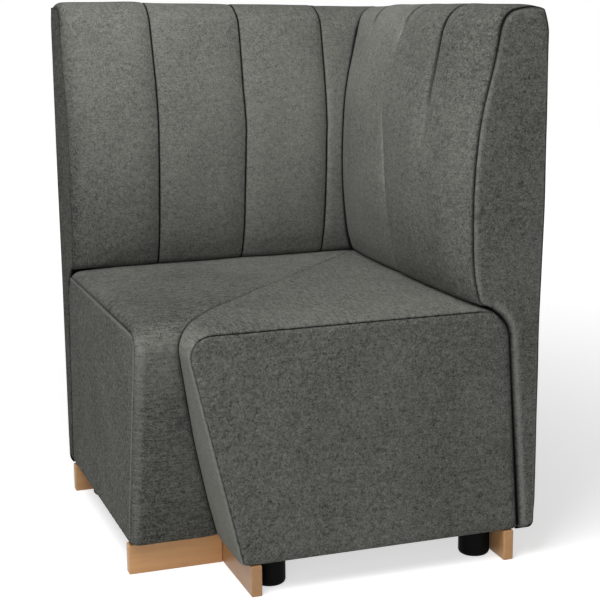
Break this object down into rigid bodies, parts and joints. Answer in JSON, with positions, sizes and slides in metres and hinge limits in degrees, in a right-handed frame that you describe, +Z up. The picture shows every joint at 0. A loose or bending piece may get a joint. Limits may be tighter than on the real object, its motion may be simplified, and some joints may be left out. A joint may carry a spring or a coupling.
{
  "type": "banquette corner seat",
  "caption": "Upholstered right-angle corner banquette with mitred seats, slanted fronts, high channelled backs, wooden foot boards and round feet.",
  "frame": {"origin": "middle of the square plan at floor level", "axes": "+Z up; +X to the right, +Y to the rear. The right wing's back stands along +X and faces -X, the left wing's back stands along +Y and faces -Y, and the two seats meet on the plane X = Y"},
  "size_m": [0.7002, 0.7002, 0.9726],
  "materials": {
    "seat_fabric": "woven grey upholstery fabric, heathered, soft nap",
    "back_fabric": "woven grey upholstery fabric, heathered, soft nap",
    "foot_board_wood": "solid beech, clear satin lacquer, eased edges",
    "glide_plastic": "moulded black plastic",
    "underside_felt": "black spunbonded felt",
    "plywood": "raw birch plywood",
    "softwood": "planed softwood",
    "hardboard": "smooth brown hardboard",
    "foam": "cut polyurethane foam",
    "zinc_plated_steel": "zinc-plated steel"
  },
  "bodies": {
    "root": {"back_corner_post": "softwood", "dust_cover": "underside_felt", "foot_board_screws": "zinc_plated_steel", "glide_foot_1": "glide_plastic", "glide_foot_2": "glide_plastic", "glide_foot_3": "glide_plastic", "glide_foot_4": "glide_plastic", "glide_foot_5": "glide_plastic", "glide_foot_screws": "zinc_plated_steel", "left_back_bottom_rail": "softwood", "left_back_channel_1": "back_fabric", "left_back_channel_2": "back_fabric", "left_back_channel_3": "back_fabric", "left_back_channel_4": "back_fabric", "left_back_end_cover": "back_fabric", "left_back_end_rib": "plywood", "left_back_facing_board": "plywood", "left_back_foam": "foam", "left_back_outer_cover": "back_fabric", "left_back_rear_board": "hardboard", "left_back_seat_rail": "softwood", "left_back_top_rail": "softwood", "left_base_panel": "plywood", "left_front_foot_board": "foot_board_wood", "left_rear_foot_board": "foot_board_wood", "left_seat_cover": "seat_fabric", "left_seat_deck": "plywood", "left_seat_end_cover": "seat_fabric", "left_seat_end_panel": "plywood", "left_seat_foam": "foam", "left_seat_front_panel": "plywood", "left_seat_rear_panel": "plywood", "right_back_bottom_rail": "softwood", "right_back_channel_1": "back_fabric", "right_back_channel_2": "back_fabric", "right_back_channel_3": "back_fabric", "right_back_channel_4": "back_fabric", "right_back_end_cover": "back_fabric", "right_back_end_rib": "plywood", "right_back_facing_board": "plywood", "right_back_foam": "foam", "right_back_outer_cover": "back_fabric", "right_back_rear_board": "hardboard", "right_back_seat_rail": "softwood", "right_back_top_rail": "softwood", "right_base_panel": "plywood", "right_front_foot_board": "foot_board_wood", "right_rear_foot_board": "foot_board_wood", "right_seat_cover": "seat_fabric", "right_seat_deck": "plywood", "right_seat_end_cover": "seat_fabric", "right_seat_end_panel": "plywood", "right_seat_foam": "foam", "right_seat_front_panel": "plywood", "right_seat_rear_panel": "plywood", "seat_mitre_web": "plywood", "seat_to_back_bolts": "zinc_plated_steel", "seat_to_back_inserts": "zinc_plated_steel"}
  },
  "joints": []
}
